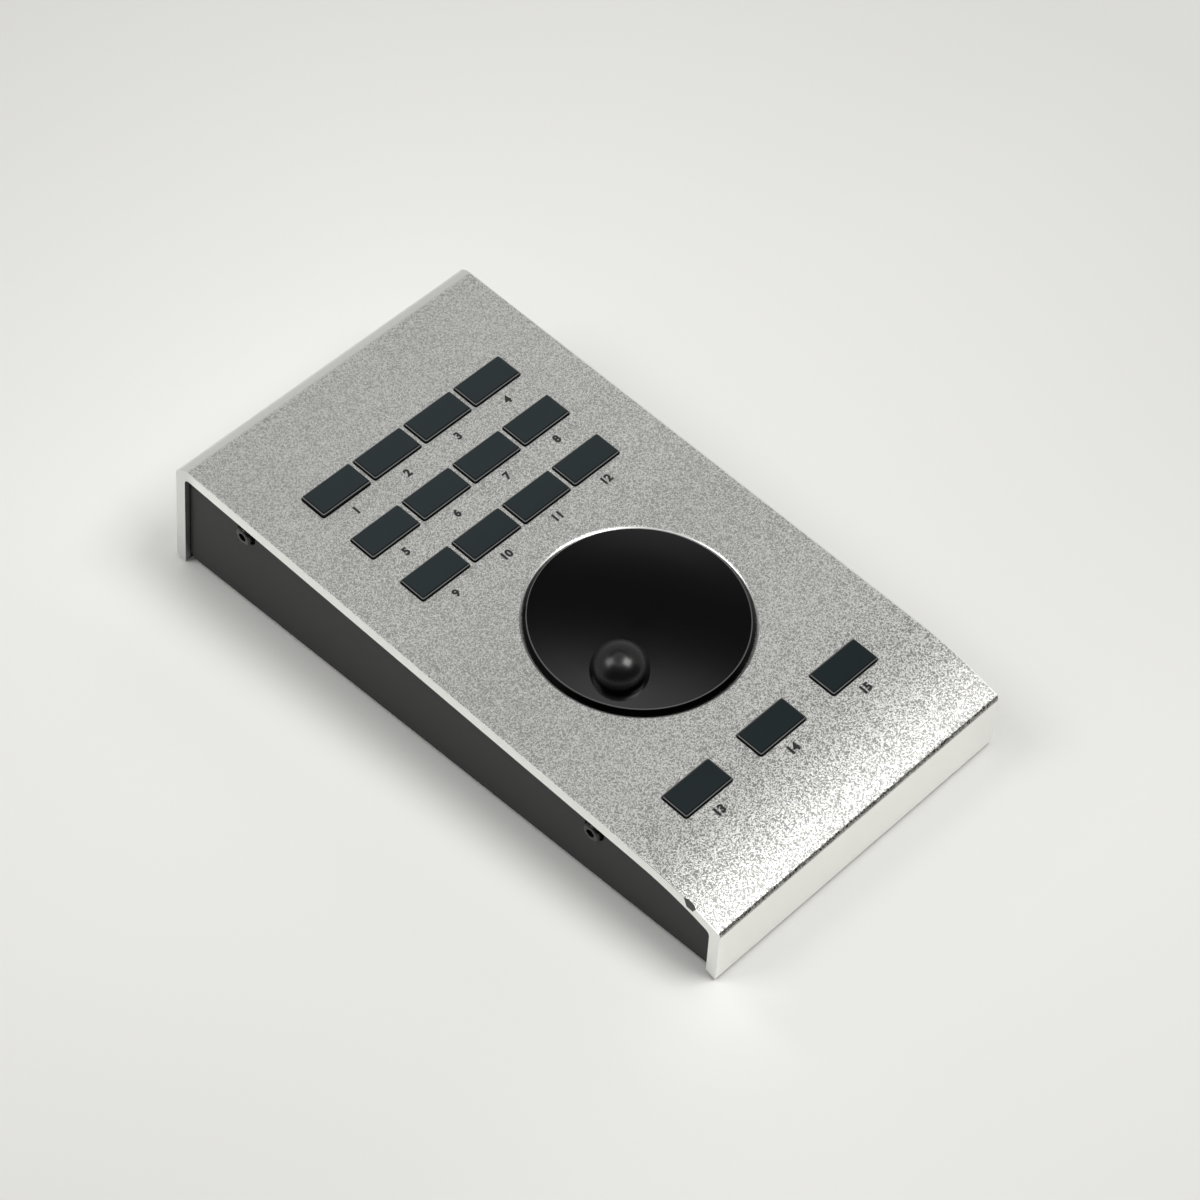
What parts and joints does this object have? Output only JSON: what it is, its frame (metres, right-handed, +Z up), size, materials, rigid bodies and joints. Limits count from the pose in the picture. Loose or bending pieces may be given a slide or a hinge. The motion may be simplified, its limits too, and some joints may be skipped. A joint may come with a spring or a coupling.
{
  "type": "studio monitor controller",
  "caption": "Sloping desk controller with a large turning wheel, a finger dome on it and rows of press keys, used to set the level and source of studio loudspeakers.",
  "frame": {"origin": "on the table, under the middle of the whole box, at the bottom of the feet", "axes": "+X to the user's right, +Y away from the user towards the rear wall with the sockets, +Z up"},
  "size_m": [0.105, 0.2058, 0.0413],
  "materials": {
    "blasted_aluminium": "coarse bead-blasted, clear anodised",
    "charcoal_paint": "fine matt powder coat",
    "black_steel": "black oxide",
    "foot_rubber": "matt",
    "key_plastic": "smoked translucent, satin",
    "wheel_black": "satin black",
    "dome_black": "satin black",
    "black_plastic": "moulded",
    "led_white": "clear epoxy over phosphor",
    "board_green": "solder mask",
    "nickel": "nickel plate",
    "bare_steel": "zinc plate",
    "brass": "turned",
    "cream_plastic": "moulded",
    "flex_film": "film"
  },
  "bodies": {
    "housing": {"top_cover": "blasted_aluminium", "side_panel_left": "charcoal_paint", "side_panel_right": "charcoal_paint", "base_plate": "charcoal_paint", "base_screws": "black_steel", "rubber_feet": "foot_rubber", "side_screws": "black_steel", "key_switches": "black_plastic", "key_leds": "led_white", "key_board": "board_green", "key_board_standoffs": "nickel", "key_board_screws": "nickel", "encoder_bracket": "bare_steel", "bracket_standoffs": "nickel", "bracket_screws": "nickel", "encoder_housing": "black_plastic", "encoder_bushing": "brass", "encoder_washer": "bare_steel", "encoder_nut": "nickel", "main_board": "board_green", "main_board_standoffs": "nickel", "main_board_screws": "nickel", "controller_chip": "black_plastic", "board_parts": "black_plastic", "usb_socket_shell": "nickel", "usb_socket_insert": "black_plastic", "footswitch_jack": "black_plastic", "jack_washer": "nickel", "jack_nut": "nickel", "jack_contact": "brass", "flex_connector_upper": "cream_plastic", "flex_connector_lower": "cream_plastic", "flex_cable": "flex_film"},
    "wheel": {"jog_wheel": "wheel_black", "finger_dome": "dome_black", "wheel_hub_insert": "brass", "encoder_shaft": "bare_steel"},
    "key_01": {"key_01": "key_plastic"},
    "key_02": {"key_02": "key_plastic"},
    "key_03": {"key_03": "key_plastic"},
    "key_04": {"key_04": "key_plastic"},
    "key_05": {"key_05": "key_plastic"},
    "key_06": {"key_06": "key_plastic"},
    "key_07": {"key_07": "key_plastic"},
    "key_08": {"key_08": "key_plastic"},
    "key_09": {"key_09": "key_plastic"},
    "key_10": {"key_10": "key_plastic"},
    "key_11": {"key_11": "key_plastic"},
    "key_12": {"key_12": "key_plastic"},
    "key_13": {"key_13": "key_plastic"},
    "key_14": {"key_14": "key_plastic"},
    "key_15": {"key_15": "key_plastic"}
  },
  "joints": [
    {"name": "wheel_spin", "type": "hinge", "parent": "housing", "child": "wheel", "pos_m": [0, -0.0243, 0.03177], "axis": [0, -0.0811, 0.9967], "continuous": true},
    {"name": "key_01_press", "type": "slide", "parent": "housing", "child": "key_01", "axis": [0, 0.0811, -0.9967], "range_m": [0, 0.0008], "stiffness_N_per_m": 600, "springref_m": -0.001},
    {"name": "key_02_press", "type": "slide", "parent": "housing", "child": "key_02", "axis": [0, 0.0811, -0.9967], "range_m": [0, 0.0008], "stiffness_N_per_m": 600, "springref_m": -0.001},
    {"name": "key_03_press", "type": "slide", "parent": "housing", "child": "key_03", "axis": [0, 0.0811, -0.9967], "range_m": [0, 0.0008], "stiffness_N_per_m": 600, "springref_m": -0.001},
    {"name": "key_04_press", "type": "slide", "parent": "housing", "child": "key_04", "axis": [0, 0.0811, -0.9967], "range_m": [0, 0.0008], "stiffness_N_per_m": 600, "springref_m": -0.001},
    {"name": "key_05_press", "type": "slide", "parent": "housing", "child": "key_05", "axis": [0, 0.0811, -0.9967], "range_m": [0, 0.0008], "stiffness_N_per_m": 600, "springref_m": -0.001},
    {"name": "key_06_press", "type": "slide", "parent": "housing", "child": "key_06", "axis": [0, 0.0811, -0.9967], "range_m": [0, 0.0008], "stiffness_N_per_m": 600, "springref_m": -0.001},
    {"name": "key_07_press", "type": "slide", "parent": "housing", "child": "key_07", "axis": [0, 0.0811, -0.9967], "range_m": [0, 0.0008], "stiffness_N_per_m": 600, "springref_m": -0.001},
    {"name": "key_08_press", "type": "slide", "parent": "housing", "child": "key_08", "axis": [0, 0.0811, -0.9967], "range_m": [0, 0.0008], "stiffness_N_per_m": 600, "springref_m": -0.001},
    {"name": "key_09_press", "type": "slide", "parent": "housing", "child": "key_09", "axis": [0, 0.0811, -0.9967], "range_m": [0, 0.0008], "stiffness_N_per_m": 600, "springref_m": -0.001},
    {"name": "key_10_press", "type": "slide", "parent": "housing", "child": "key_10", "axis": [0, 0.0811, -0.9967], "range_m": [0, 0.0008], "stiffness_N_per_m": 600, "springref_m": -0.001},
    {"name": "key_11_press", "type": "slide", "parent": "housing", "child": "key_11", "axis": [0, 0.0811, -0.9967], "range_m": [0, 0.0008], "stiffness_N_per_m": 600, "springref_m": -0.001},
    {"name": "key_12_press", "type": "slide", "parent": "housing", "child": "key_12", "axis": [0, 0.0811, -0.9967], "range_m": [0, 0.0008], "stiffness_N_per_m": 600, "springref_m": -0.001},
    {"name": "key_13_press", "type": "slide", "parent": "housing", "child": "key_13", "axis": [0, 0.0811, -0.9967], "range_m": [0, 0.0008], "stiffness_N_per_m": 600, "springref_m": -0.001},
    {"name": "key_14_press", "type": "slide", "parent": "housing", "child": "key_14", "axis": [0, 0.0811, -0.9967], "range_m": [0, 0.0008], "stiffness_N_per_m": 600, "springref_m": -0.001},
    {"name": "key_15_press", "type": "slide", "parent": "housing", "child": "key_15", "axis": [0, 0.0811, -0.9967], "range_m": [0, 0.0008], "stiffness_N_per_m": 600, "springref_m": -0.001}
  ]
}
